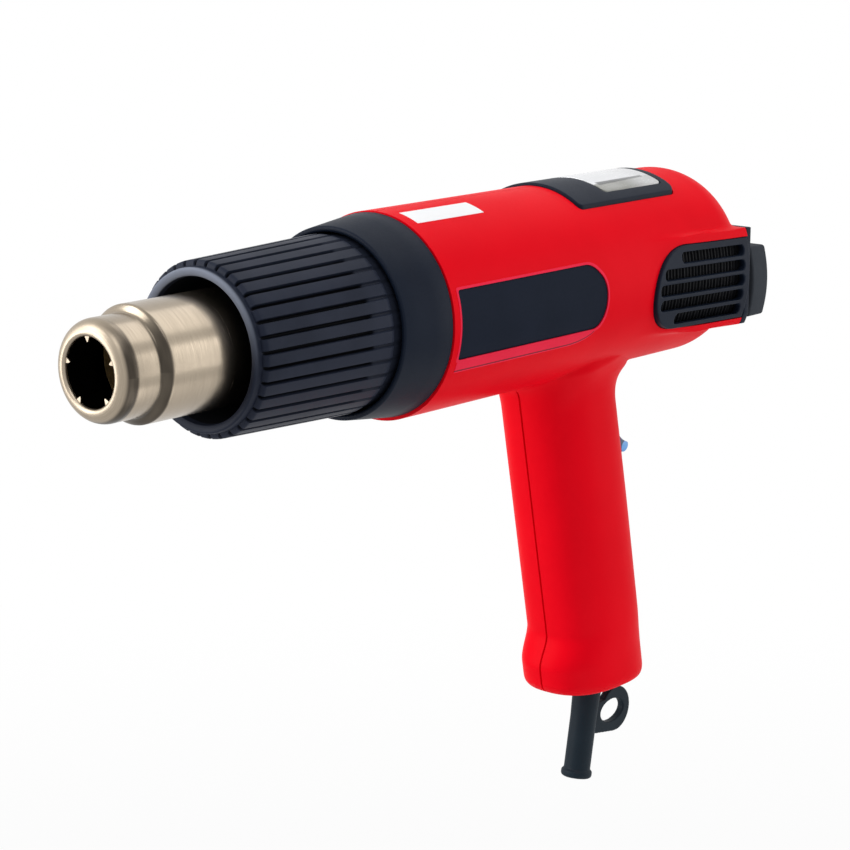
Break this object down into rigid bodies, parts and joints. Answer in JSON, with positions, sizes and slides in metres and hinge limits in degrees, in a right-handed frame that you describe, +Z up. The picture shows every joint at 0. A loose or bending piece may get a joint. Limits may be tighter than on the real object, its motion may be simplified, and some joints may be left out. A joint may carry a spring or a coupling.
{
  "type": "hot air tool",
  "caption": "Pistol-grip hot air tool with a stepped metal nozzle in a ribbed heat shield, a red clamshell body, a display on top, a rear switch and a stand at the back.",
  "frame": {"origin": "centre of the flat rear face of the stand behind the barrel", "axes": "+X from the nozzle to the rear along the barrel, +Z up from the handle to the barrel, -Y the left side"},
  "size_m": [0.3254, 0.0756, 0.2429],
  "materials": {
    "red_shell": "satin moulded plastic",
    "black_plastic": "fine grained moulded plastic",
    "shield_plastic": "heat resistant moulded plastic",
    "nozzle_metal": "drawn stainless steel, warm tint",
    "mica": "pressed mica",
    "heater_ceramic": "unglazed",
    "heater_wire": "oxidised heating wire",
    "inlay_film": "smooth",
    "screen_mesh": "fine mesh",
    "stand_rubber": "soft, matt",
    "lens": "clear window with a silver backing",
    "display_glass": "smooth",
    "circuit_board": "lacquered",
    "switch_plastic": "smooth",
    "rocker_plastic": "smooth",
    "terminal_plastic": "smooth",
    "relief_rubber": "matt",
    "motor_steel": "zinc plated",
    "armature_steel": "laminated, wound with copper",
    "fan_plastic": "smooth"
  },
  "bodies": {
    "tool": {"housing_left": "red_shell", "housing_right": "red_shell", "front_collar": "black_plastic", "heat_shield": "shield_plastic", "nozzle_tube": "nozzle_metal", "mica_sleeve": "mica", "heater_core": "heater_ceramic", "heater_coil": "heater_wire", "heater_flange": "mica", "side_inlay_left": "inlay_film", "side_inlay_right": "inlay_film", "intake_grille_left": "black_plastic", "intake_grille_right": "black_plastic", "dust_screen_left": "screen_mesh", "dust_screen_right": "screen_mesh", "rear_cover": "black_plastic", "rear_stand": "stand_rubber", "display_bezel": "black_plastic", "display_lens": "lens", "display_module": "display_glass", "display_board": "circuit_board", "switch_body": "switch_plastic", "power_board": "circuit_board", "terminal_block": "terminal_plastic", "cord_clamp": "black_plastic", "strain_relief": "relief_rubber", "motor_can": "motor_steel", "motor_mount": "shield_plastic"},
    "rocker": {"switch_rocker": "rocker_plastic"},
    "rotor": {"motor_shaft": "motor_steel", "armature": "armature_steel", "blower_fan": "fan_plastic"}
  },
  "joints": [
    {"name": "rocker_tilt", "type": "hinge", "parent": "tool", "child": "rocker", "pos_m": [-0.06502, 0, -0.0586], "axis": [0, 1, 0], "range_deg": [0, 30]},
    {"name": "rotor_spin", "type": "hinge", "parent": "tool", "child": "rotor", "pos_m": [-0.1932, 0, 0.0081], "axis": [1, 0, 0], "continuous": true}
  ]
}
